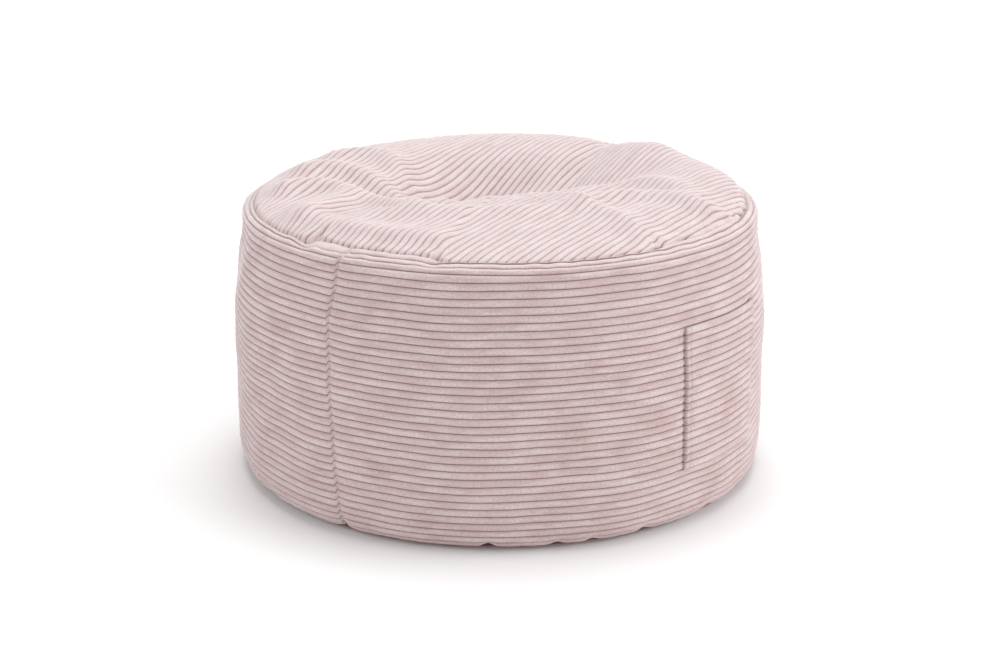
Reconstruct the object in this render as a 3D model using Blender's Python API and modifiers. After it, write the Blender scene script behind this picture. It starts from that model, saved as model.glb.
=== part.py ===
"""A round bean bag footstool in wide-wale corduroy, modelled in metres with +Z up.

The origin is on the floor under the middle of the footstool. The front is at -Y, and the slip pocket is
on the right of the front, towards +X. Azimuths run from the front towards +X.

Pieces: the side band closed round its filling as one filled solid, the round top panel sewn to its top
edge, the round base panel sewn to its bottom edge, and the slip pocket sewn to the band.
"""

import math
from collections import namedtuple

import bmesh
import bpy

# Driving dimensions
WIDEST_RADIUS = 0.300  # at the low bulge
SEAM_HEIGHT = 0.299  # where the top panel meets the side band
CLOTH = 0.002  # thickness of the corduroy sheets
GAP = 0.0003  # between pieces that touch
SEGMENTS = 64  # round the footstool
TOP_RINGS = 14  # from the middle of the top panel to its seam

# The side band from the top seam down to the base seam. The radius is the widest one less the inset.
Section = namedtuple("Section", "place height inset")
SIDE_SECTIONS = [
    Section("seam", 0.2975, 0.0215),
    Section("edge roll", 0.2958, 0.0170),
    Section("shoulder", 0.2900, 0.0130),
    Section("under the shoulder", 0.2680, 0.0112),
    Section("neck", 0.2440, 0.0072),
    Section("under the neck", 0.2200, 0.0044),
    Section("upper side", 0.1950, 0.0026),
    Section("middle", 0.1470, 0.0016),
    Section("lower side", 0.0980, 0.0008),
    Section("low bulge", 0.0580, 0.0000),
    Section("under the bulge", 0.0330, 0.0008),
    Section("turning in", 0.0177, 0.0034),
    Section("foot", 0.0080, 0.0075),
    Section("base seam", CLOTH + GAP, 0.0143),
]
TOP_RADIUS = 0.2740  # the top panel's edge, inside the rolled edge of the band
BASE_RADIUS = 0.2840

# The top panel: inside its seam it swells up to a rim, more at the back than in front. Each row gives
# the rise at an azimuth in degrees, how far in from the seam it reaches, and how roundly it starts, where
# 0.5 is a quarter of an ellipse.
Rim = namedtuple("Rim", "azimuth rise shoulder roundness")
RIM = [
    Rim(-180.0, 0.025, 0.060, 0.50),
    Rim(-135.0, 0.021, 0.060, 0.50),
    Rim(-110.0, 0.018, 0.055, 0.50),
    Rim(-85.0, 0.012, 0.050, 0.60),
    Rim(-45.0, 0.009, 0.060, 0.80),
    Rim(0.0, 0.013, 0.100, 0.85),
    Rim(45.0, 0.011, 0.080, 0.80),
    Rim(75.0, 0.015, 0.060, 0.55),
    Rim(100.0, 0.024, 0.055, 0.50),
    Rim(135.0, 0.026, 0.060, 0.50),
    Rim(180.0, 0.025, 0.060, 0.50),
]
SEAM_HOLD = 0.030  # how far in from the seam the folds die out

# Soft folds of the top panel: each runs from its start through its middle to its end, rises by its height,
# and falls over its front width on the side that faces -Y and over its back width on the other.
Fold = namedtuple("Fold", "place start middle end height front back")
FOLDS = [
    Fold("sunken left middle", (-0.095, -0.005), (-0.060, 0.027), (-0.015, 0.052), -0.026, 0.080, 0.100),
    Fold("sunken right middle", (-0.015, 0.055), (0.045, 0.062), (0.100, 0.055), -0.030, 0.085, 0.105),
    Fold("front swell", (-0.060, -0.160), (0.070, -0.150), (0.150, -0.120), 0.004, 0.060, 0.050),
    Fold("right back swell", (0.205, 0.190), (0.175, 0.130), (0.130, 0.080), 0.008, 0.050, 0.045),
    Fold("main crest", (-0.130, -0.130), (-0.020, -0.130), (0.085, -0.110), 0.008, 0.036, 0.022),
    Fold("right lower crest", (0.085, -0.115), (0.120, -0.150), (0.150, -0.200), 0.007, 0.030, 0.024),
    Fold("right upper crest", (0.085, -0.095), (0.160, -0.062), (0.233, -0.125), 0.009, 0.028, 0.024),
    Fold("front left welt", (-0.195, -0.130), (-0.140, -0.185), (-0.065, -0.222), 0.006, 0.022, 0.030),
    Fold("left front crest", (-0.226, -0.150), (-0.195, -0.105), (-0.169, -0.046), 0.009, 0.026, 0.028),
    Fold("left middle crest", (-0.235, -0.021), (-0.165, -0.020), (-0.088, -0.112), 0.013, 0.026, 0.028),
    Fold("left back crest", (-0.220, 0.055), (-0.155, 0.045), (-0.068, -0.055), 0.012, 0.026, 0.028),
    Fold("far left crest", (-0.190, 0.125), (-0.140, 0.125), (-0.108, 0.055), 0.008, 0.026, 0.026),
    Fold("far right crest", (0.090, -0.022), (0.155, 0.012), (0.208, -0.060), 0.006, 0.026, 0.028),
    Fold("back right valley", (0.136, 0.210), (0.105, 0.140), (0.065, 0.045), -0.007, 0.026, 0.026),
]

# The slip pocket, cut so that its wales follow the band's: open along its top edge, sewn on the other three
POCKET_FROM = math.radians(39.3)  # azimuth of its left edge
POCKET_TO = math.radians(64.5)
POCKET_FOOT = 0.066
POCKET_MOUTH = 0.220
POCKET_COLUMNS = 14

CORDUROY_PINK = (0.66, 0.50, 0.51, 1.0)
BASE_PINK = (0.60, 0.47, 0.48, 1.0)


def smooth_step(share):
    """0 to 1 with level ends, for a share of the way from 0 to 1."""
    share = min(max(share, 0.0), 1.0)
    return share * share * (3 - 2 * share)


def fold_path(fold, steps=8):
    """Points along a fold, on the parabola through its start, middle and end."""
    points = []
    for i in range(steps + 1):
        t = i / steps
        weights = ((1 - t) * (1 - 2 * t), 4 * t * (1 - t), t * (2 * t - 1))
        places = (fold.start, fold.middle, fold.end)
        points.append(tuple(sum(w * place[axis] for w, place in zip(weights, places)) for axis in (0, 1)))
    return points


FOLD_PATHS = [fold_path(fold) for fold in FOLDS]


def from_path(x, y, path):
    """Distance from (x, y) to a path, and which side of it faces the point: 1 in front (-Y), 0 behind."""
    best, ahead = math.inf, 0.0
    for (ax, ay), (bx, by) in zip(path, path[1:]):
        dx, dy = bx - ax, by - ay
        t = min(max(((x - ax) * dx + (y - ay) * dy) / (dx * dx + dy * dy), 0.0), 1.0)
        near_x, near_y = ax + t * dx, ay + t * dy
        distance = math.hypot(x - near_x, y - near_y)
        if distance < best:
            best, ahead = distance, near_y - y
    return best, 0.5 + 0.5 * ahead / max(best, 1e-9)


def rim_height(azimuth, inwards):
    """How far the top panel swells up above its seam, at a distance in from it."""
    for row, following in zip(RIM, RIM[1:]):
        if azimuth <= following.azimuth:
            break
    t = (azimuth - row.azimuth) / (following.azimuth - row.azimuth)
    rise, shoulder, roundness = (a + t * (b - a) for a, b in zip(row[1:], following[1:]))
    share = min(max(inwards / shoulder, 0.0), 1.0)
    return rise * (1 - (1 - share) ** 2) ** roundness


def top_height(x, y):
    """Height of the top panel's outer face: the rim swelling up from the seam, and the folds."""
    inwards = TOP_RADIUS - math.hypot(x, y)
    height = SEAM_HEIGHT + rim_height(math.degrees(math.atan2(x, -y)), inwards)
    hold = smooth_step(inwards / SEAM_HOLD)
    for fold, path in zip(FOLDS, FOLD_PATHS):
        distance, facing = from_path(x, y, path)
        width = fold.back + (fold.front - fold.back) * facing
        height += fold.height * hold * math.exp(-((distance / width) ** 2) * 2)
    return height


def side_radius(height):
    """The side band's outer radius at a height."""
    for upper, lower in zip(SIDE_SECTIONS, SIDE_SECTIONS[1:]):
        if height >= lower.height:
            share = (height - lower.height) / (upper.height - lower.height)
            return WIDEST_RADIUS - lower.inset + share * (lower.inset - upper.inset)
    return WIDEST_RADIUS - SIDE_SECTIONS[-1].inset


def material(name, colour):
    made = bpy.data.materials.new(name)
    made.use_nodes = True
    shader = made.node_tree.nodes["Principled BSDF"]
    shader.inputs["Base Color"].default_value = colour
    shader.inputs["Roughness"].default_value = 0.9
    shader.inputs["Metallic"].default_value = 0.0
    return made


def new_object(name, mesh, collection, finish):
    made = bpy.data.objects.new(name, mesh)
    collection.objects.link(made)
    mesh.materials.append(finish)
    mesh.shade_smooth()
    return made


def finished(name, shape, collection, finish):
    """An object made from a closed shape, its faces turned outwards."""
    bmesh.ops.recalc_face_normals(shape, faces=shape.faces)
    mesh = bpy.data.meshes.new(name)
    shape.to_mesh(mesh)
    shape.free()
    return new_object(name, mesh, collection, finish)


def grow_ring(shape, ring, radius, height):
    """Extrudes a closed ring of edges to a new radius and height, and returns the new ring."""
    grown = bmesh.ops.extrude_edge_only(shape, edges=ring)["geom"]
    for vertex in (part for part in grown if isinstance(part, bmesh.types.BMVert)):
        scale = radius / math.hypot(vertex.co.x, vertex.co.y)
        vertex.co = (vertex.co.x * scale, vertex.co.y * scale, height)
    return [part for part in grown if isinstance(part, bmesh.types.BMEdge) and part.is_boundary]


def open_edges(shape):
    return [edge for edge in shape.edges if edge.is_boundary]


def top_surface():
    """The outer face of the top panel: rings round its middle, closer near the seam, in triangles."""
    radii = [TOP_RADIUS * math.sin(math.pi / 2 * (i / TOP_RINGS) ** 0.9) for i in range(1, TOP_RINGS + 1)]
    shape = bmesh.new()
    bmesh.ops.create_circle(shape, cap_ends=True, cap_tris=True, segments=SEGMENTS, radius=radii[0])
    ring = open_edges(shape)
    for radius in radii[1:]:
        ring = grow_ring(shape, ring, radius, 0.0)
    for vertex in shape.verts:
        vertex.co.z = top_height(vertex.co.x, vertex.co.y)
    bmesh.ops.triangulate(shape, faces=shape.faces)
    return shape


def top_panel(surface, collection, finish):
    """The round top panel, a sheet as thick as the cloth under the top surface."""
    shape = surface.copy()
    grown = bmesh.ops.extrude_face_region(shape, geom=shape.faces[:])["geom"]
    lower = [part for part in grown if isinstance(part, bmesh.types.BMVert)]
    bmesh.ops.translate(shape, verts=lower, vec=(0, 0, -CLOTH))
    return finished("top_panel", shape, collection, finish)


def filled_band(surface, collection, finish):
    """The side band round its filling, one solid, shaped under the top panel and flat on the base panel."""
    shape = surface.copy()
    bmesh.ops.translate(shape, verts=shape.verts, vec=(0, 0, -CLOTH - GAP))
    ring = open_edges(shape)
    for section in SIDE_SECTIONS:
        ring = grow_ring(shape, ring, WIDEST_RADIUS - section.inset, section.height)
    bmesh.ops.contextual_create(shape, geom=ring)
    return finished("filled_band", shape, collection, finish)


def base_panel(collection, finish):
    """The round base panel, flat on the floor."""
    shape = bmesh.new()
    bmesh.ops.create_cone(
        shape, cap_ends=True, segments=SEGMENTS, radius1=BASE_RADIUS, radius2=BASE_RADIUS, depth=CLOTH
    )
    bmesh.ops.translate(shape, verts=shape.verts, vec=(0, 0, CLOTH / 2))
    return finished("base_panel", shape, collection, finish)


def side_pocket(collection, finish):
    """The slip pocket: a sheet that follows the band, thickened outwards."""
    between = [s.height for s in SIDE_SECTIONS if POCKET_FOOT + CLOTH < s.height < POCKET_MOUTH - CLOTH]
    heights = [POCKET_MOUTH, *between, POCKET_FOOT]
    shape = bmesh.new()
    bmesh.ops.create_grid(shape, x_segments=POCKET_COLUMNS, y_segments=len(heights) - 1, size=0.5)
    for vertex in shape.verts:
        azimuth = POCKET_FROM + (vertex.co.x + 0.5) * (POCKET_TO - POCKET_FROM)
        height = heights[round((0.5 - vertex.co.y) * (len(heights) - 1))]
        radius = side_radius(height) + GAP
        vertex.co = (radius * math.sin(azimuth), -radius * math.cos(azimuth), height)
    made = finished("side_pocket", shape, collection, finish)
    solidify = made.modifiers.new("cloth", "SOLIDIFY")
    solidify.thickness = CLOTH
    solidify.offset = 1.0
    solidify.use_even_offset = True
    return made


def main():
    for old in list(bpy.data.objects):
        bpy.data.objects.remove(old)
    collection = bpy.data.collections.new("bean_bag_footstool")
    bpy.context.scene.collection.children.link(collection)
    corduroy = material("corduroy", CORDUROY_PINK)
    base_cloth = material("base_cloth", BASE_PINK)
    surface = top_surface()
    filled_band(surface, collection, corduroy)
    top_panel(surface, collection, corduroy)
    surface.free()
    base_panel(collection, base_cloth)
    side_pocket(collection, corduroy)


main()
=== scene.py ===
"""Looks of the bean bag footstool: wide-wale corduroy over a soft bead filling.

Metres, +Z up, front at -Y, the pocket towards +X. Azimuths run from the front towards +X, in degrees.
The cloth is modelled wale by wale: the rows of every mesh run along the wales, a few rows to each.
"""

import math
from collections import namedtuple

import bpy
import numpy as np
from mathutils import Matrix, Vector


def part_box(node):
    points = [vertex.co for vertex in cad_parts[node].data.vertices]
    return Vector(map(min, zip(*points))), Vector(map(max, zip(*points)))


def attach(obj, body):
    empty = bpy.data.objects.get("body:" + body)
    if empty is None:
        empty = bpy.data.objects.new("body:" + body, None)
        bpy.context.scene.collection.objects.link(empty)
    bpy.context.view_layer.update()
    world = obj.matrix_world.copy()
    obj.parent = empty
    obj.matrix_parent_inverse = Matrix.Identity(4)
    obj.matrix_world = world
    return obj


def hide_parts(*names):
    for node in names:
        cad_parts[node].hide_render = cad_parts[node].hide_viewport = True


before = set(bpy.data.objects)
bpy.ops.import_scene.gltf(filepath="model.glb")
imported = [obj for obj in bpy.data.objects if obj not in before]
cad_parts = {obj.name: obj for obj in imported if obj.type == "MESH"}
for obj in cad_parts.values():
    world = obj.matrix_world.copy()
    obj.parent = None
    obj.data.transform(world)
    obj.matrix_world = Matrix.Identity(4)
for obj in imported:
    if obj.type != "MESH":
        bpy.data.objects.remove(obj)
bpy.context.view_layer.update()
BAND_LOW, BAND_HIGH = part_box("filled_band")
TOP_LOW, TOP_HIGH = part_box("top_panel")
BASE_LOW, BASE_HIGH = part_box("base_panel")

# Driving dimensions
WIDEST_RADIUS = (BAND_HIGH[0] - BAND_LOW[0]) / 2
TOP_RADIUS = (TOP_HIGH[0] - TOP_LOW[0]) / 2
BASE_RADIUS = (BASE_HIGH[0] - BASE_LOW[0]) / 2
SEAM_HEIGHT = 0.299
WALE_PITCH = 0.008085
WALE_HEIGHT = 0.0024
TOP_WALE_HEIGHT = 0.0018  # the top panel is stretched over the filling
WALE_ROUNDNESS = 2.6
WALE_ROWS = (0.0, 0.07, 0.2, 0.5, 0.8, 0.93)  # where the rows of a wale lie, from groove to groove

# The pile's unevenness along a wale, and how far the wales sway from straight
PILE_LUMPS = 0.00022
PILE_LUMP_SIZE = 0.013
WALE_SWAY = 0.0006
WALE_SWAY_SIZE = 0.12
TOP_WALE_SWAY = 0.0005
TOP_WALE_SWAY_SIZE = 0.075

# The side band's outline from inside the top seam down to the base seam, smoothed between its points.
# The first two rows serve where the top seam is drawn further in.
Section = namedtuple("Section", "place height inset")
SIDE_SECTIONS = [
    Section("drawn-in seam", 0.3046, 0.0410),
    Section("drawn-in edge", 0.3022, 0.0335),
    Section("seam", 0.2992, 0.0258),
    Section("edge roll", 0.2960, 0.0172),
    Section("shoulder", 0.2900, 0.0130),
    Section("under the shoulder", 0.2820, 0.0121),
    Section("collar", 0.2680, 0.0112),
    Section("neck", 0.2440, 0.0072),
    Section("under the neck", 0.2200, 0.0044),
    Section("upper side", 0.1950, 0.0026),
    Section("middle", 0.1470, 0.0016),
    Section("lower side", 0.0980, 0.0008),
    Section("low bulge", 0.0580, 0.0000),
    Section("under the bulge", 0.0330, 0.0008),
    Section("turning in", 0.0177, 0.0034),
    Section("foot", 0.0080, 0.0075),
    Section("base seam", 0.0023, 0.0143),
]

# Where the top seam is drawn in, from one azimuth to another, by how much and how suddenly at either end
DrawnIn = namedtuple("DrawnIn", "place start end depth ease")
DRAWN_IN = [
    DrawnIn("front left", -46.0, -13.0, 0.0075, 3.0),
    DrawnIn("front right", 37.0, 66.0, 0.0055, 5.0),
]

# Tucks across the top seam: a crease of the top panel that runs in from the seam, and a dent in the
# band under it
Tuck = namedtuple("Tuck", "place azimuth width depth reach dent")
TUCKS = [
    Tuck("left front tuck", -46.0, 0.0060, 0.0065, 0.042, 0.0045),
    Tuck("front notch", -13.5, 0.0040, 0.0060, 0.022, 0.0040),
    Tuck("front right pinch", 37.0, 0.0040, 0.0030, 0.034, 0.0012),
    Tuck("right pucker", 68.0, 0.0040, 0.0020, 0.024, 0.0010),
    Tuck("far right pucker", 77.0, 0.0035, 0.0020, 0.020, 0.0010),
    Tuck("right end pucker", 87.0, 0.0035, 0.0014, 0.018, 0.0008),
    Tuck("left side pucker", -78.0, 0.0050, 0.0020, 0.022, 0.0010),
    Tuck("back left tuck", -141.0, 0.0050, 0.0030, 0.028, 0.0016),
    Tuck("back tuck", 163.0, 0.0045, 0.0030, 0.026, 0.0014),
    Tuck("back right tuck", 128.0, 0.0050, 0.0025, 0.024, 0.0012),
]

# The top panel: inside its seam it swells up to a rim, more at the back than in front, and more or
# less roundly.
Rim = namedtuple("Rim", "azimuth rise shoulder roundness")
RIM = [
    Rim(-180.0, 0.025, 0.060, 0.50),
    Rim(-135.0, 0.021, 0.060, 0.50),
    Rim(-110.0, 0.018, 0.055, 0.50),
    Rim(-85.0, 0.012, 0.050, 0.60),
    Rim(-45.0, 0.009, 0.060, 0.80),
    Rim(0.0, 0.013, 0.100, 0.85),
    Rim(45.0, 0.011, 0.080, 0.80),
    Rim(75.0, 0.015, 0.060, 0.55),
    Rim(100.0, 0.024, 0.055, 0.50),
    Rim(135.0, 0.026, 0.060, 0.50),
    Rim(180.0, 0.025, 0.060, 0.50),
]
MIDDLE_RISE = 0.0165  # what the rim's rise comes to in the middle of the top panel
MIDDLE_BLEND = 0.09  # the radius inside which it does
SEAM_CLIMB = 0.36  # how far the seam climbs for each metre that it is drawn in
SEAM_HOLD = 0.030  # how far in from the seam the folds die out
SEAM_GROOVE_DEPTH = 0.0042
SEAM_GROOVE_WIDTH = 0.0030
TOP_WALE_ANGLE = math.radians(56.0)  # from +X towards +Y
TOP_WALE_START = -0.0699  # where one groove passes the middle
Fold = namedtuple("Fold", "place start middle end height front back")
FOLDS = [
    Fold("sunken left middle", (-0.095, -0.005), (-0.060, 0.027), (-0.015, 0.052), -0.026, 0.080, 0.100),
    Fold("sunken right middle", (-0.015, 0.055), (0.045, 0.062), (0.100, 0.055), -0.030, 0.085, 0.105),
    Fold("front swell", (-0.060, -0.160), (0.070, -0.150), (0.150, -0.120), 0.004, 0.060, 0.050),
    Fold("right back swell", (0.205, 0.190), (0.175, 0.130), (0.130, 0.080), 0.008, 0.050, 0.045),
    Fold("main crest", (-0.130, -0.130), (-0.020, -0.130), (0.085, -0.110), 0.008, 0.036, 0.022),
    Fold("right lower crest", (0.085, -0.115), (0.120, -0.150), (0.150, -0.200), 0.004, 0.030, 0.026),
    Fold("right upper crest", (0.085, -0.095), (0.160, -0.062), (0.233, -0.125), 0.009, 0.028, 0.024),
    Fold("front left welt", (-0.195, -0.130), (-0.140, -0.185), (-0.065, -0.222), 0.006, 0.022, 0.030),
    Fold("left front crest", (-0.226, -0.150), (-0.195, -0.105), (-0.169, -0.046), 0.009, 0.026, 0.028),
    Fold("left middle crest", (-0.235, -0.021), (-0.165, -0.020), (-0.088, -0.112), 0.013, 0.026, 0.028),
    Fold("left back crest", (-0.220, 0.055), (-0.155, 0.045), (-0.068, -0.055), 0.012, 0.026, 0.028),
    Fold("far left crest", (-0.190, 0.125), (-0.140, 0.125), (-0.108, 0.055), 0.008, 0.026, 0.026),
    Fold("far right crest", (0.090, -0.022), (0.155, 0.012), (0.208, -0.060), 0.006, 0.026, 0.028),
    Fold("back right valley", (0.136, 0.210), (0.105, 0.140), (0.065, 0.045), -0.007, 0.026, 0.026),
]

# The upright seam that joins the band's ends: its azimuth at some heights
BandSeam = namedtuple("BandSeam", "height azimuth")
BAND_SEAM = [
    BandSeam(0.000, -33.8),
    BandSeam(0.045, -34.1),
    BandSeam(0.090, -34.9),
    BandSeam(0.150, -35.5),
    BandSeam(0.230, -36.0),
    BandSeam(0.300, -34.0),
]
BAND_SEAM_MIDDLE = -35.0
BAND_SEAM_DEPTH = 0.0034  # how deep it cuts into the tops of the wales
BAND_SEAM_WIDTH = 0.0022
BAND_SEAM_DIP = 0.0012  # the broad dip round it
BAND_SEAM_DIP_WIDTH = 0.011

# Puckers of the band where it turns under to the base seam
Pucker = namedtuple("Pucker", "place azimuth width depth height")
PUCKERS = [
    Pucker("front notch", -2.5, 0.0060, 0.0045, 0.020),
    Pucker("right of the front", 11.5, 0.0070, 0.0030, 0.022),
    Pucker("front right", 19.0, 0.0060, 0.0030, 0.020),
    Pucker("right", 31.0, 0.0080, 0.0035, 0.024),
    Pucker("under the pocket", 50.0, 0.0090, 0.0025, 0.024),
    Pucker("band seam", -34.0, 0.0070, 0.0015, 0.028),
    Pucker("left", -58.0, 0.0090, 0.0025, 0.024),
    Pucker("far left", -95.0, 0.0090, 0.0030, 0.024),
    Pucker("back left", -140.0, 0.0090, 0.0030, 0.024),
    Pucker("back", 172.0, 0.0090, 0.0030, 0.024),
    Pucker("back right", 118.0, 0.0090, 0.0030, 0.024),
]

# The slip pocket
POCKET_FROM = 39.3
POCKET_TO = 64.5
POCKET_MOUTH_HEIGHT = 0.220
POCKET_WALES = 19
POCKET_STANDS = 0.0023  # how far its wales stand out from the band's
POCKET_THICKNESS = 0.0012
POCKET_GAP_DEPTH = 0.0024
STITCH_FROM_EDGE = 0.0062
STITCH_FROM_RIGHT_EDGE = 0.0026


# ---------------------------------------------------------------- helpers


def smooth_step(share):
    """A share from 0 to 1, eased at both ends."""
    share = np.clip(share, 0.0, 1.0)
    return share * share * (3 - 2 * share)


def bump(distance, width):
    """A soft hump of height 1 that falls off over a width."""
    return np.exp(-((distance / width) ** 2))


def ripples(points, size, seed, count=7):
    """Soft random swells of about a given size over points (..., 3), between about -1 and 1."""
    chance = np.random.default_rng(seed)
    total = 0.0
    for _ in range(count):
        direction = chance.normal(size=3)
        direction *= (0.7 + 0.6 * chance.random()) / np.linalg.norm(direction)
        phase = chance.random() * math.tau
        total = total + np.sin(points @ direction * math.tau / size + phase)
    return total / math.sqrt(count)


def around(azimuth, middle):
    """Degrees from a middle azimuth, between -180 and 180."""
    return (azimuth - middle + 180.0) % 360.0 - 180.0


def ridge(share):
    """Height of a wale between its two grooves, 0 in the groove and 1 on top."""
    return 1.0 - np.abs(2.0 * share - 1.0) ** WALE_ROUNDNESS


def smooth_curve(points, steps=24):
    """Points on a Catmull-Rom curve through the given ones."""
    points = np.asarray(points, float)
    ends = np.vstack([2 * points[0] - points[1], points, 2 * points[-1] - points[-2]])
    t = np.linspace(0, 1, steps, endpoint=False)[:, None]
    parts = []
    for a, b, c, d in zip(ends, ends[1:], ends[2:], ends[3:]):
        squared = (2 * a - 5 * b + 4 * c - d) * t**2
        cubed = (3 * b - a - 3 * c + d) * t**3
        parts.append(0.5 * (2 * b + (c - a) * t + squared + cubed))
    return np.vstack([*parts, points[-1:]])


def grid_faces(rows, columns, closed=False):
    """Corner numbers of a grid's quads; a closed grid joins its last column to its first."""
    row = np.arange(rows - 1)[:, None]
    column = np.arange(columns if closed else columns - 1)[None, :]
    right = (column + 1) % columns
    here = row * columns
    below = (row + 1) * columns
    corners = (here + column, below + column, below + right, here + right)
    return np.stack(corners, axis=-1).reshape(-1, 4)


def cloth_piece(name, points, faces, wale_places, finish):
    """A smooth object from points, faces and each point's place on the wales.

    The place is the distance along the wales in metres and across them in wales.
    """
    mesh = bpy.data.meshes.new(name)
    mesh.from_pydata(points.reshape(-1, 3).tolist(), [], [list(face) for face in faces])
    place = mesh.uv_layers.new(name="wales")
    corner_points = np.empty(len(mesh.loops), dtype=np.int32)
    mesh.loops.foreach_get("vertex_index", corner_points)
    place.data.foreach_set("uv", wale_places.reshape(-1, 2)[corner_points].astype(np.float32).ravel())
    mesh.shade_smooth()
    mesh.materials.append(finish)
    piece = bpy.data.objects.new(name, mesh)
    bpy.context.scene.collection.objects.link(piece)
    return piece


# ---------------------------------------------------------------- the body's shape


def side_profile():
    """Arc lengths down the side band from the top seam, with the radius and height there."""
    curve = smooth_curve([(WIDEST_RADIUS - section.inset, section.height) for section in SIDE_SECTIONS])
    arcs = np.concatenate([[0.0], np.cumsum(np.linalg.norm(np.diff(curve, axis=0), axis=1))])
    seam = next(i for i, section in enumerate(SIDE_SECTIONS) if section.place == "seam")
    return arcs - arcs[len(curve) // (len(SIDE_SECTIONS) - 1) * seam], curve[:, 0], curve[:, 1]


SIDE_ARCS, SIDE_RADII, SIDE_HEIGHTS = side_profile()
SIDE_LENGTH = SIDE_ARCS[-1]


def side_at(arc):
    """Radius and height of the side at an arc length, and how far its outward normal leans out and up."""
    step = 0.0015
    radius = np.interp(arc, SIDE_ARCS, SIDE_RADII)
    height = np.interp(arc, SIDE_ARCS, SIDE_HEIGHTS)
    out = np.interp(arc - step, SIDE_ARCS, SIDE_HEIGHTS) - np.interp(arc + step, SIDE_ARCS, SIDE_HEIGHTS)
    up = np.interp(arc + step, SIDE_ARCS, SIDE_RADII) - np.interp(arc - step, SIDE_ARCS, SIDE_RADII)
    length = np.hypot(out, up)
    return radius, height, out / length, up / length


def seam_inset(azimuth):
    """How far the top seam is drawn in from the plain circle of the top panel's edge."""
    inset = 0.0
    for part in DRAWN_IN:
        middle = (part.start + part.end) / 2
        past_end = np.abs(around(azimuth, middle)) - (part.end - part.start) / 2
        inset = inset + part.depth * smooth_step(0.5 - past_end / part.ease)
    return inset


def band_seam_azimuth(height):
    """Azimuth of the upright seam at a height."""
    return np.interp(height, [row.height for row in BAND_SEAM], [row.azimuth for row in BAND_SEAM])


def arc_across(azimuth, middle, radius):
    """Distance round the body from a middle azimuth, in metres."""
    return np.radians(around(azimuth, middle)) * radius


def pocket_gap(azimuth, height, radius):
    """Depth of the gap that the pocket's stitching pulls into the band, as a share of its full depth.

    It runs just outside the two upright edges, and is deepest at the right end of the mouth.
    """
    from_left = arc_across(azimuth, POCKET_FROM, radius)
    from_right = arc_across(azimuth, POCKET_TO, radius)
    left = bump(from_left + 0.0010, 0.0016)
    right = bump(from_right - 0.0008, 0.0016)
    corner = bump(from_right + 0.0040, 0.0040) * bump(height - POCKET_MOUTH_HEIGHT, 0.0030)
    foot = POCKET_MOUTH_HEIGHT - POCKET_WALES * WALE_PITCH
    inside = smooth_step((height - foot) / 0.006) * smooth_step((POCKET_MOUTH_HEIGHT - height) / 0.006)
    return (left + right) * inside + 1.2 * corner


def side_points(azimuth, arc, share, stand=0.0, groove=1.0):
    """Points of the side's cloth.

    Share is the place across a wale, stand the distance from the band's own face, and groove the depth
    of the grooves against the usual one.
    """
    radius, height, out, up = side_at(arc)
    east, north = np.sin(np.radians(azimuth)), -np.cos(np.radians(azimuth))
    plain = np.stack(np.broadcast_arrays(radius * east, radius * north, height), axis=-1)
    inside = smooth_step(arc / 0.030) * smooth_step((SIDE_LENGTH - arc) / 0.040)

    lift = stand + inside * (0.0016 * ripples(plain, 0.17, 11) + 0.0006 * ripples(plain, 0.055, 12))
    lift = lift + PILE_LUMPS * ripples(plain, PILE_LUMP_SIZE, 13) * ridge(share)
    lift = lift - WALE_HEIGHT * (1 - ridge(share)) * groove

    across = arc_across(azimuth, band_seam_azimuth(height), radius)
    lift = lift - BAND_SEAM_DEPTH * bump(across, BAND_SEAM_WIDTH) * ridge(share)
    lift = lift - BAND_SEAM_DIP * bump(across, BAND_SEAM_DIP_WIDTH)
    for tuck in TUCKS:
        dented = bump(arc_across(azimuth, tuck.azimuth, radius), 2 * tuck.width)
        lift = lift - tuck.dent * dented * bump(arc, 0.014)
    for pucker in PUCKERS:
        low = smooth_step(1 - height / pucker.height)
        lift = lift - pucker.depth * bump(arc_across(azimuth, pucker.azimuth, radius), pucker.width) * low
    lift = lift - 0.0005 * bump(arc, 0.016) * ripples(plain, 0.022, 14)
    lift = lift - POCKET_GAP_DEPTH * pocket_gap(azimuth, height, radius)

    radius = radius + lift * out
    height = height + lift * up
    return np.stack(np.broadcast_arrays(radius * east, radius * north, height), axis=-1)


def from_path(x, y, path):
    """Distance from points to a path, and the share to which they lie in front of it.

    The share is 1 straight in front (towards -Y), 0 straight behind and 0.5 off to a side.
    """
    best = np.full(np.shape(x), np.inf)
    ahead = np.zeros(np.shape(x))
    for (ax, ay), (bx, by) in zip(path, path[1:]):
        dx, dy = bx - ax, by - ay
        t = np.clip(((x - ax) * dx + (y - ay) * dy) / (dx * dx + dy * dy), 0.0, 1.0)
        near_x, near_y = ax + t * dx, ay + t * dy
        distance = np.hypot(x - near_x, y - near_y)
        nearer = distance < best
        best = np.where(nearer, distance, best)
        ahead = np.where(nearer, near_y - y, ahead)
    return best, 0.5 + 0.5 * ahead / np.maximum(best, 1e-9)


def fold_path(fold, steps=8):
    """Points along a fold, on the parabola through its start, middle and end."""
    t = np.linspace(0, 1, steps + 1)[:, None]
    start, middle, end = (np.array(point) for point in (fold.start, fold.middle, fold.end))
    return (1 - t) * (1 - 2 * t) * start + 4 * t * (1 - t) * middle + t * (2 * t - 1) * end


def rim_height(azimuth, inwards):
    """How far the top panel swells up above its seam, at a distance in from it."""
    rise, shoulder, roundness = (
        np.interp(azimuth, [row.azimuth for row in RIM], [getattr(row, name) for row in RIM])
        for name in ("rise", "shoulder", "roundness")
    )
    share = np.clip(inwards / shoulder, 0, 1)
    return rise * (1 - (1 - share) ** 2) ** roundness


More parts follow.
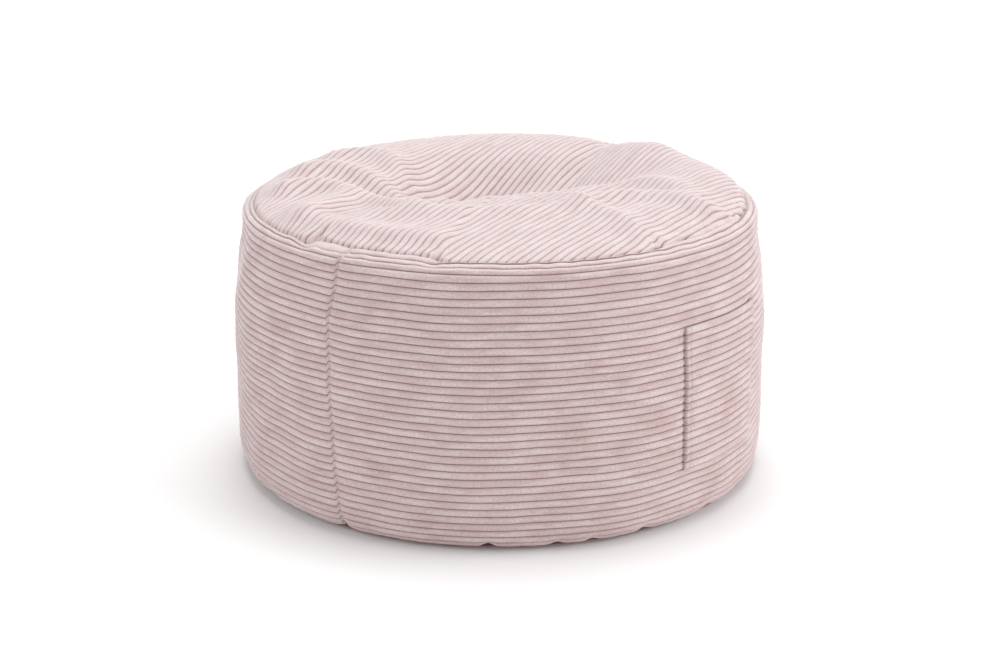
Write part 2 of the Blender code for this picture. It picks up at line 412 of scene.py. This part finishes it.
def top_height(x, y):
    """Height of the top panel's outer face, before its wales."""
    radius = np.hypot(x, y)
    azimuth = np.degrees(np.arctan2(x, -y))
    inset = seam_inset(azimuth)
    inwards = TOP_RADIUS - inset - radius
    height = SEAM_HEIGHT + SEAM_CLIMB * inset
    outside = smooth_step(radius / MIDDLE_BLEND)
    height = height + MIDDLE_RISE + (rim_height(azimuth, inwards) - MIDDLE_RISE) * outside
    hold = smooth_step(inwards / SEAM_HOLD)
    for fold in FOLDS:
        distance, facing = from_path(x, y, fold_path(fold))
        width = fold.back + (fold.front - fold.back) * facing
        height = height + fold.height * hold * np.exp(-2 * (distance / width) ** 2)
    for tuck in TUCKS:
        across = arc_across(azimuth, tuck.azimuth, radius)
        fade = 1 - smooth_step(inwards / tuck.reach)
        lips = 0.35 * bump(np.abs(across) - 2.2 * tuck.width, 1.3 * tuck.width)
        crease = bump(across, tuck.width) - lips
        height = height - tuck.depth * fade * crease
    flat = np.stack([x, y, np.zeros_like(x)], axis=-1)
    height = height + 0.0003 * hold * ripples(flat, 0.045, 21)
    return height - SEAM_GROOVE_DEPTH * bump(np.clip(inwards, 0, None), SEAM_GROOVE_WIDTH)


# ---------------------------------------------------------------- the pieces


def band_columns(count=360):
    """Azimuths of the band's columns: closer in front, and closest at its seam and the pocket's edges."""
    fine = np.linspace(-180.0, 180.0, 3601)
    density = 0.45 + 0.55 * smooth_step((115 - np.abs(fine)) / 20)
    density = density + 4.5 * bump(around(fine, BAND_SEAM_MIDDLE), 1.3)
    pocket_edges = bump(around(fine, POCKET_FROM - 0.2), 0.6) + bump(around(fine, POCKET_TO + 0.2), 0.6)
    density = density + 5.0 * pocket_edges
    filled = np.concatenate([[0.0], np.cumsum((density[1:] + density[:-1]) / 2)])
    return np.interp(np.arange(count) / count * filled[-1], filled, fine)


def on_cylinder(azimuths, heights):
    """Points on a plain cylinder about as wide as the body, where the sway of the wales is looked up."""
    east = np.sin(np.radians(azimuths)) * 0.3
    north = -np.cos(np.radians(azimuths)) * 0.3
    return np.stack(np.broadcast_arrays(east, north, heights), axis=-1)


def wale_shift(azimuth, height):
    """The wales' offset in wales: half a wale at the left of the upright seam, fading out round the back."""
    past = around(azimuth, band_seam_azimuth(height))
    return 0.5 * (1 - smooth_step(-past / 180)) * smooth_step(0.5 - past / 0.5)


# The filled band's face under the top panel: rings at parts of the seam's radius, and how far below
# the top panel they lie
CapRing = namedtuple("CapRing", "part under_cloth")
CAP_RINGS = [
    CapRing(0.97, 0.006),
    CapRing(0.93, 0.010),
    CapRing(0.85, 0.018),
    CapRing(0.70, 0.024),
    CapRing(0.50, 0.024),
    CapRing(0.25, 0.024),
]


def filled_band(finish):
    """The side band round its filling: its wales, a face under the top panel and a flat underside."""
    columns = band_columns()
    start = -(0.0008 + seam_inset(columns) * 1.06)
    wales = int(SIDE_LENGTH / WALE_PITCH - 0.9)
    shift = wale_shift(columns, 0.15) * WALE_PITCH
    arcs, shares, grooves, across = [], [], [], []

    def add_row(arc, share, groove, place):
        arcs.append(arc)
        shares.append(share)
        grooves.append(np.broadcast_to(groove, columns.shape))
        across.append(np.full(columns.shape, place))

    for share in WALE_ROWS:
        first = shift - start
        add_row(start + share * first, share, np.clip(first / WALE_PITCH, 0, 1), share - 1)
    for wale in range(wales):
        for share in WALE_ROWS:
            add_row((wale + share) * WALE_PITCH + shift, share, 1.0, wale + share)
    for share in (*WALE_ROWS, 1.0):
        begin = wales * WALE_PITCH + shift
        add_row(begin + share * (SIDE_LENGTH - begin), share, 1.0, wales + share)

    arcs = np.array(arcs)
    shares = np.array(shares)[:, None]
    _, heights, _, _ = side_at(arcs)
    near_seam = bump(around(columns, BAND_SEAM_MIDDLE), 12.0)
    azimuths = columns + (band_seam_azimuth(heights) - BAND_SEAM_MIDDLE) * near_seam
    inside = smooth_step(arcs / 0.03) * smooth_step((SIDE_LENGTH - arcs) / 0.03)
    waved = arcs + WALE_SWAY * inside * ripples(on_cylinder(azimuths, heights), WALE_SWAY_SIZE, 15)
    side = side_points(azimuths, waved, shares, 0.0, np.array(grooves))

    tucked = side[0] * (0.992, 0.992, 1.0) - (0, 0, 0.0035)
    rings = [tucked]
    for cap in CAP_RINGS:
        ring = tucked * (cap.part, cap.part, 1.0)
        ring[:, 2] = top_height(ring[:, 0], ring[:, 1]) - cap.under_cloth
        rings.append(ring)
    under = [side[-1] * (part, part, 1.0) for part in (0.7, 0.04)]
    points = np.concatenate([rings[::-1], side, under])
    rows = len(points)
    faces = [tuple(face) for face in grid_faces(rows, len(columns), closed=True)]
    faces.append(tuple(range(len(columns)))[::-1])
    faces.append(tuple(range((rows - 1) * len(columns), rows * len(columns))))

    places = np.zeros((rows, len(columns), 2))
    places[..., 0] = np.radians(columns) * WIDEST_RADIUS
    places[len(rings) : len(rings) + len(across), :, 1] = np.array(across)
    piece = cloth_piece("soft_band", points, faces, places, finish)
    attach(piece, "root")
    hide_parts("filled_band")
    return piece


def seam_reach(across, sign):
    """How far a wale of the top panel runs from its middle to the seam, at one end."""
    reach = np.sqrt(np.clip(TOP_RADIUS**2 - across**2, 0, None))
    for _ in range(12):
        x, y = top_plan(across, sign * reach)
        edge = TOP_RADIUS - seam_inset(np.degrees(np.arctan2(x, -y)))
        reach = 0.5 * (reach + np.sqrt(np.clip(edge**2 - across**2, 1e-8, None)))
    return reach


def top_plan(across, along):
    """Plan position of a place across and along the top panel's wales."""
    sine = math.sin(TOP_WALE_ANGLE)
    cosine = math.cos(TOP_WALE_ANGLE)
    return across * sine + along * cosine, along * sine - across * cosine


def top_panel(finish):
    """The round top panel, its wales straight across it, dipping into the seam at their ends."""
    across, shares = [], []
    for wale in range(-40, 60):
        for share in WALE_ROWS:
            place = TOP_WALE_START + (wale + share) * WALE_PITCH
            side = 0 if place > 0 else 180
            edge = TOP_RADIUS - seam_inset(90 - math.degrees(TOP_WALE_ANGLE) + side)
            if abs(place) < edge - 0.0004:
                across.append(place)
                shares.append(share)
    across = np.array(across)[:, None]
    shares = np.array(shares)[:, None]
    far, near = seam_reach(across, 1), -seam_reach(across, -1)
    close = np.array([0.0, 0.0008, 0.0018, 0.0030, 0.0045, 0.0065])
    squeeze = np.clip((far - near) / 0.08, 0, 1)
    first, last = near + close * squeeze, (far - close * squeeze)[:, ::-1]
    middle = np.linspace(0, 1, 150)[1:-1]
    along = np.hstack([first, first[:, -1:] + (last[:, :1] - first[:, -1:]) * middle, last])

    x, y = top_plan(across, along)
    flat = np.stack([x, y, np.zeros_like(x)], axis=-1)
    hold = smooth_step((TOP_RADIUS - np.hypot(x, y)) / 0.03)
    sway = TOP_WALE_SWAY * hold * ripples(flat, TOP_WALE_SWAY_SIZE, 22)
    x, y = top_plan(across + sway, along)

    step = 0.0008
    height = top_height(x, y)
    slope_x = (top_height(x + step, y) - top_height(x - step, y)) / (2 * step)
    slope_y = (top_height(x, y + step) - top_height(x, y - step)) / (2 * step)
    normal = np.stack([-slope_x, -slope_y, np.ones_like(x)], axis=-1)
    normal /= np.linalg.norm(normal, axis=-1, keepdims=True)
    lift = -TOP_WALE_HEIGHT * (1 - ridge(shares))
    lift = lift + PILE_LUMPS * ridge(shares) * ripples(flat, PILE_LUMP_SIZE, 23)
    points = np.stack([x, y, height], axis=-1) + lift[..., None] * normal
    places = np.stack([along, np.broadcast_to((across - TOP_WALE_START) / WALE_PITCH, along.shape)], axis=-1)
    piece = cloth_piece("top_cloth", points, grid_faces(*x.shape), places, finish)
    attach(piece, "root")
    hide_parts("top_panel")
    return piece


def pocket_width():
    """Width of the pocket, measured round the body."""
    return math.radians(POCKET_TO - POCKET_FROM) * WIDEST_RADIUS


def mouth_groove():
    """Number of the groove nearest to the pocket's mouth, counted from the top seam."""
    mouth = np.interp(-POCKET_MOUTH_HEIGHT, -SIDE_HEIGHTS, SIDE_ARCS)
    return round(float(mouth / WALE_PITCH))


def side_pocket(finish):
    """The slip pocket: wales that lie on the band's, beaded along its stitched left edge."""
    width = pocket_width()
    beaded = np.array([0, 0.0003, 0.0008, 0.0015, 0.0023, 0.0031, 0.0040, 0.0049])
    stitched = np.array([0.0056, 0.0062, 0.0069, 0.0080])
    inner = np.linspace(0.0105, width - 0.0060, 40)
    end = width - np.array([0.0045, 0.0032, 0.0022, 0.0014, 0.0008, 0.0003, 0.0])
    distance = np.concatenate([beaded, stitched, inner, end])
    columns = POCKET_FROM + np.degrees(distance / WIDEST_RADIUS)
    from_right = width - distance

    first = mouth_groove()
    arcs = [(first + wale + share) * WALE_PITCH for wale in range(POCKET_WALES) for share in WALE_ROWS]
    shares = [share for _ in range(POCKET_WALES) for share in WALE_ROWS]
    arcs = np.array([*arcs, (first + POCKET_WALES) * WALE_PITCH])[:, None]
    shares = np.array([*shares, 1.0])[:, None]

    stand = POCKET_STANDS * (0.6 + 0.4 * smooth_step(distance / 0.0008))
    stand = stand + 0.0005 * bump(distance - 0.0024, 0.0026)
    stand = stand - 0.0010 * bump(distance - STITCH_FROM_EDGE, 0.0007)
    stand = stand * (0.35 + 0.65 * smooth_step(from_right / 0.0022))
    groove = 1 + 0.3 * bump(distance - 0.0010, 0.0014) + 1.1 * bump(from_right - 0.0014, 0.0018)
    mouth = bump(arcs - arcs[0], 0.005)
    gape = 0.0016 * bump(from_right - 0.005, 0.007) * mouth
    gape = gape - 0.0008 * mouth * smooth_step(distance / 0.01)
    _, heights, _, _ = side_at(arcs)
    azimuths = np.broadcast_to(columns, (len(arcs), len(columns)))
    waved = arcs + WALE_SWAY * ripples(on_cylinder(azimuths, heights), WALE_SWAY_SIZE, 15)
    points = side_points(azimuths, waved, shares, stand + gape, groove)
    places = np.stack(np.broadcast_arrays(distance, arcs / WALE_PITCH), axis=-1)
    piece = cloth_piece("pocket_cloth", points, grid_faces(*azimuths.shape), places, finish)
    solidify = piece.modifiers.new("cloth", "SOLIDIFY")
    solidify.thickness = POCKET_THICKNESS
    solidify.offset = -1.0
    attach(piece, "root")
    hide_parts("side_pocket")
    return piece


def base_panel(finish):
    """The round base panel: flat on the floor, its edge turned up a little into the seam."""
    thickness = BASE_HIGH[2] - BASE_LOW[2]
    outline = [
        (0.001, 0.0),
        (0.5 * BASE_RADIUS, 0.0),
        (BASE_RADIUS - 0.012, 0.0),
        (BASE_RADIUS - 0.004, 0.0001),
        (BASE_RADIUS - 0.001, 0.0005),
        (BASE_RADIUS, 0.3 * thickness + 0.0004),
        (BASE_RADIUS - 0.001, 0.9 * thickness),
        (BASE_RADIUS - 0.004, thickness),
        (0.5 * BASE_RADIUS, thickness),
        (0.001, thickness),
    ]
    segments = 180
    turn = np.arange(segments) / segments * math.tau
    profile = np.array(outline)
    points = np.stack(np.broadcast_arrays(
        profile[:, :1] * np.sin(turn), profile[:, :1] * np.cos(turn), profile[:, 1:]
    ), axis=-1)
    faces = [tuple(face)[::-1] for face in grid_faces(len(outline), segments, closed=True)]
    faces.append(tuple(range(segments)))
    faces.append(tuple(range((len(outline) - 1) * segments, len(outline) * segments))[::-1])
    piece = cloth_piece("base_cloth_round", points, faces, points[..., :2], finish)
    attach(piece, "root")
    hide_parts("base_panel")
    return piece


def stitches(finish):
    """The thread of the pocket's upright seams: two short stitches on each wale, their ends pulled in."""
    sides, steps, thread = 6, 7, 0.00032
    ring = np.arange(sides) / sides * math.tau
    points, faces = [], []
    width = pocket_width()
    for distance in (STITCH_FROM_EDGE, width - STITCH_FROM_RIGHT_EDGE):
        azimuth = POCKET_FROM + math.degrees(distance / WIDEST_RADIUS)
        for wale in range(2 * POCKET_WALES):
            t = np.linspace(0.06, 0.44, steps) + 0.5 * (wale % 2)
            arc = (mouth_groove() + wale // 2 + t) * WALE_PITCH
            dip = 0.0006 - 0.0009 * np.abs(np.linspace(-1, 1, steps)) ** 2
            stand = 0.0009 + dip
            share = np.full(steps, 0.5) + 0.3 * (t - 0.25)
            line = side_points(np.full(steps, azimuth), arc, share, stand, 1.0)
            outward = line * (1, 1, 0)
            outward /= np.linalg.norm(outward, axis=1, keepdims=True)
            sideways = np.cross(outward, (0, 0, 1))
            taper = np.sin(np.linspace(0.12, 0.88, steps) * math.pi) ** 0.3 * thread
            round_outward = np.cos(ring)[None, :, None] * outward[:, None]
            round_sideways = np.sin(ring)[None, :, None] * sideways[:, None]
            tube = line[:, None] + taper[:, None, None] * (round_outward + round_sideways)
            first = len(points) * steps * sides
            points.append(tube.reshape(-1, 3))
            faces += [tuple(face + first) for face in grid_faces(steps, sides, closed=True)]
            faces.append(tuple(first + i for i in range(sides))[::-1])
            faces.append(tuple(first + (steps - 1) * sides + i for i in range(sides)))
    points = np.concatenate(points)
    piece = cloth_piece("pocket_stitches", points, faces, points[:, :2] * 0, finish)
    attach(piece, "root")
    return piece


# ---------------------------------------------------------------- materials


class Nodes:
    """Short calls for making and joining shader nodes."""

    def __init__(self, name):
        self.material = bpy.data.materials.new(name)
        self.material.use_nodes = True
        self.tree = self.material.node_tree
        self.shader = self.tree.nodes["Principled BSDF"]

    def add(self, kind, settings=None, **inputs):
        """A new node with some settings, and numbers or links for its named inputs."""
        node = self.tree.nodes.new(kind)
        for name, value in (settings or {}).items():
            setattr(node, name, value)
        for name, value in inputs.items():
            self.set_socket(node.inputs[name], value)
        return node

    def math(self, operation, a, b=0.0, c=0.0):
        node = self.tree.nodes.new("ShaderNodeMath")
        node.operation = operation
        for socket, value in zip(node.inputs, (a, b, c)):
            self.set_socket(socket, value)
        return node.outputs[0]

    def set_socket(self, socket, value):
        if isinstance(value, bpy.types.NodeSocket):
            self.tree.links.new(value, socket)
        else:
            socket.default_value = value

    def mix(self, share, a, b):
        """Colour a where the share is 0, and b where it is 1."""
        node = self.tree.nodes.new("ShaderNodeMix")
        node.data_type = "RGBA"
        self.set_socket(node.inputs[0], share)
        self.set_socket(node.inputs[6], a)
        self.set_socket(node.inputs[7], b)
        return node.outputs[2]

    def noise(self, where, size, detail=3.0, roughness=0.55, stretch=(1, 1, 1)):
        """Noise between 0 and 1 of a given size in metres, over a position."""
        scaled = self.tree.nodes.new("ShaderNodeVectorMath")
        scaled.operation = "MULTIPLY"
        self.tree.links.new(where, scaled.inputs[0])
        scaled.inputs[1].default_value = tuple(part / size for part in stretch)
        node = self.tree.nodes.new("ShaderNodeTexNoise")
        node.inputs["Scale"].default_value = 1.0
        node.inputs["Detail"].default_value = detail
        node.inputs["Roughness"].default_value = roughness
        self.tree.links.new(scaled.outputs[0], node.inputs["Vector"])
        return node.outputs["Fac"]

    def spread(self, value, low, high, to_low=0.0, to_high=1.0):
        """A value's range low to high stretched to another one, and held there."""
        node = self.tree.nodes.new("ShaderNodeMapRange")
        node.interpolation_type = "SMOOTHSTEP"
        ends = {"From Min": low, "From Max": high, "To Min": to_low, "To Max": to_high}
        for name, number in ends.items():
            node.inputs[name].default_value = number
        self.tree.links.new(value, node.inputs["Value"])
        return node.outputs["Result"]


RIDGE_PINK = (0.560, 0.429, 0.426, 1.0)
# Painted shade: the grooves' darker, redder colour stands in for the shade in them.
GROOVE_SHADE_RED = (0.175, 0.095, 0.094, 1.0)
PALE_PILE = (0.615, 0.504, 0.501, 1.0)
ROSE_PILE = (0.500, 0.354, 0.350, 1.0)
# Painted sheen: a pale colour mixed into the pile where it faces up.
PAINTED_SHEEN_PILE = (0.70, 0.64, 0.64, 1.0)
PAINTED_SHEEN_SHARE = 0.40  # how far the pile that faces up is paled towards the painted sheen colour


GROOVE_NARROWNESS = 6.0  # the higher, the closer to the groove its painted shade begins


def corduroy():
    """Velvety cut pile on the wales: brushed in patches, with painted shade making the grooves darker and
    redder, and a painted sheen making the pile paler where it faces up.
    """
    made = Nodes("corduroy")
    place = made.add("ShaderNodeUVMap", {"uv_map": "wales"}).outputs["UV"]
    parts = made.add("ShaderNodeSeparateXYZ")
    made.tree.links.new(place, parts.inputs[0])
    position = made.add("ShaderNodeTexCoord").outputs["Object"]

    share = made.math("FRACT", parts.outputs["Y"])
    off_top = made.math("ABSOLUTE", made.math("SUBTRACT", made.math("MULTIPLY", share, 2.0), 1.0))
    height = made.math("SUBTRACT", 1.0, made.math("POWER", off_top, GROOVE_NARROWNESS))

    wale_place = made.add("ShaderNodeCombineXYZ")
    made.tree.links.new(parts.outputs["X"], wale_place.inputs["X"])
    made.tree.links.new(made.math("MULTIPLY", parts.outputs["Y"], WALE_PITCH), wale_place.inputs["Y"])
    wale_place = wale_place.outputs[0]

    brushed = made.noise(wale_place, 0.026, 3.0, 0.6, (0.55, 2.2, 1))
    patches = made.noise(position, 0.055, 3.0, 0.6)
    tufts = made.noise(wale_place, 0.0022, 2.0, 0.6, (0.8, 1.0, 1))
    fibres = made.noise(position, 0.0007, 2.0, 0.7)

    pile = made.mix(made.spread(brushed, 0.38, 0.66), RIDGE_PINK, PALE_PILE)
    rose = made.math("MULTIPLY", made.spread(patches, 0.46, 0.68), made.spread(brushed, 0.62, 0.36))
    pile = made.mix(made.math("MULTIPLY", rose, 0.6), pile, ROSE_PILE)
    grain = made.math("ADD", made.math("MULTIPLY", tufts, 0.55), made.math("MULTIPLY", fibres, 0.45))
    speckle = made.spread(grain, 0.34, 0.66, 0.86, 1.12)
    speckled = made.tree.nodes.new("ShaderNodeVectorMath")
    speckled.operation = "SCALE"
    made.tree.links.new(pile, speckled.inputs[0])
    made.tree.links.new(speckle, speckled.inputs["Scale"])
    # Painted shade: the colour darkens from the ridge towards each groove.
    colour = made.mix(height, GROOVE_SHADE_RED, speckled.outputs[0])
    turned = made.add("ShaderNodeSeparateXYZ")
    made.tree.links.new(made.add("ShaderNodeNewGeometry").outputs["Normal"], turned.inputs[0])
    # Painted sheen: pile that faces up is paled, standing in for the sheen it shows there.
    painted_sheen = made.spread(turned.outputs["Z"], 0.45, 0.90, 0.0, PAINTED_SHEEN_SHARE)
    colour = made.mix(painted_sheen, colour, PAINTED_SHEEN_PILE)
    made.tree.links.new(colour, made.shader.inputs["Base Color"])

    made.shader.inputs["Roughness"].default_value = 0.92
    made.shader.inputs["Specular IOR Level"].default_value = 0.15
    made.shader.inputs["Sheen Weight"].default_value = 0.60
    made.shader.inputs["Sheen Roughness"].default_value = 0.35
    made.shader.inputs["Sheen Tint"].default_value = (1.0, 0.98, 0.98, 1.0)

    relief = made.math("ADD", made.math("MULTIPLY", tufts, 0.6), made.math("MULTIPLY", fibres, 0.4))
    bump_node = made.add("ShaderNodeBump", None, Strength=0.55, Distance=0.0006)
    made.tree.links.new(relief, bump_node.inputs["Height"])
    made.tree.links.new(bump_node.outputs[0], made.shader.inputs["Normal"])
    return made.material


def base_cloth():
    """Plain tightly woven cloth in the same dusty pink."""
    made = Nodes("base_cloth")
    position = made.add("ShaderNodeTexCoord").outputs["Object"]
    parts = made.add("ShaderNodeSeparateXYZ")
    made.tree.links.new(position, parts.inputs[0])
    thread = 0.0009
    warp = made.math("SINE", made.math("MULTIPLY", parts.outputs["X"], math.tau / thread))
    weft = made.math("SINE", made.math("MULTIPLY", parts.outputs["Y"], math.tau / thread))
    weave = made.math("MULTIPLY", warp, weft)
    slub = made.noise(position, 0.004, 3.0, 0.6, (1, 0.15, 1))
    tone = made.math("ADD", made.math("MULTIPLY", weave, 0.12), made.math("MULTIPLY", slub, 0.5))
    colour = made.mix(made.spread(tone, 0.05, 0.5), (0.36, 0.25, 0.25, 1.0), (0.47, 0.345, 0.345, 1.0))
    made.tree.links.new(colour, made.shader.inputs["Base Color"])
    made.shader.inputs["Roughness"].default_value = 0.88
    bump_node = made.add("ShaderNodeBump", None, Strength=0.4, Distance=0.0003)
    made.tree.links.new(weave, bump_node.inputs["Height"])
    made.tree.links.new(bump_node.outputs[0], made.shader.inputs["Normal"])
    return made.material


def thread_finish():
    """Twisted polyester thread in a paler pink."""
    made = Nodes("thread")
    position = made.add("ShaderNodeTexCoord").outputs["Object"]
    twist = made.noise(position, 0.0005, 1.0, 0.5, (1, 1, 2))
    colour = made.mix(twist, (0.50, 0.38, 0.375, 1.0), (0.68, 0.57, 0.56, 1.0))
    made.tree.links.new(colour, made.shader.inputs["Base Color"])
    made.shader.inputs["Roughness"].default_value = 0.6
    return made.material


# ---------------------------------------------------------------- the studio


def floor():
    """A white studio floor, which is staged and not part of the object."""
    bpy.ops.mesh.primitive_plane_add(size=24.0, location=(0, 0, -0.0002))
    made = bpy.context.object
    made.name = "studio_floor"
    finish = Nodes("studio_white")
    finish.shader.inputs["Base Color"].default_value = (0.86, 0.86, 0.86, 1.0)
    finish.shader.inputs["Roughness"].default_value = 0.9
    finish.shader.inputs["Specular IOR Level"].default_value = 0.1
    made.data.materials.append(finish.material)


def sun(name, azimuth, elevation, strength, softness):
    """A distant light that comes from an azimuth and an elevation, as wide as its softness in degrees."""
    light = bpy.data.lights.new(name, "SUN")
    light.energy = strength
    light.angle = math.radians(softness)
    made = bpy.data.objects.new(name, light)
    made.rotation_euler = (math.radians(90 - elevation), 0, math.radians(azimuth))
    bpy.context.scene.collection.objects.link(made)


def studio():
    """White surroundings, a soft key light from above and behind, and others from the sides and in front."""
    floor()
    world = bpy.data.worlds.new("studio")
    world.use_nodes = True
    background = world.node_tree.nodes["Background"]
    background.inputs["Color"].default_value = (1.0, 1.0, 1.0, 1.0)
    background.inputs["Strength"].default_value = 0.32
    bpy.context.scene.world = world
    bpy.context.scene.view_settings.view_transform = "Standard"
    sun("key", 172.0, 75.0, 2.15, 40.0)
    sun("right", 84.0, 22.0, 1.95, 50.0)
    sun("left", -80.0, 25.0, 1.05, 50.0)
    sun("front", 5.0, 10.0, 0.72, 40.0)


def camera():
    """Eye height 0.78 m, 1.97 m in front of the middle, looking 18 degrees down."""
    lens = bpy.data.cameras.new("camera")
    lens.sensor_width = 36.0
    lens.lens = 65.16
    made = bpy.data.objects.new("camera", lens)
    made.location = (0.0, -1.970, 0.779)
    made.rotation_euler = (math.radians(71.92), 0.0, 0.0)
    bpy.context.scene.collection.objects.link(made)
    bpy.context.scene.camera = made


def main():
    camera()
    studio()
    cloth = corduroy()
    filled_band(cloth)
    top_panel(cloth)
    side_pocket(cloth)
    base_panel(base_cloth())
    stitches(thread_finish())


def plain(box):
    """A box's two corners as lists of plain numbers."""
    return [[float(number) for number in corner] for corner in box]


main()
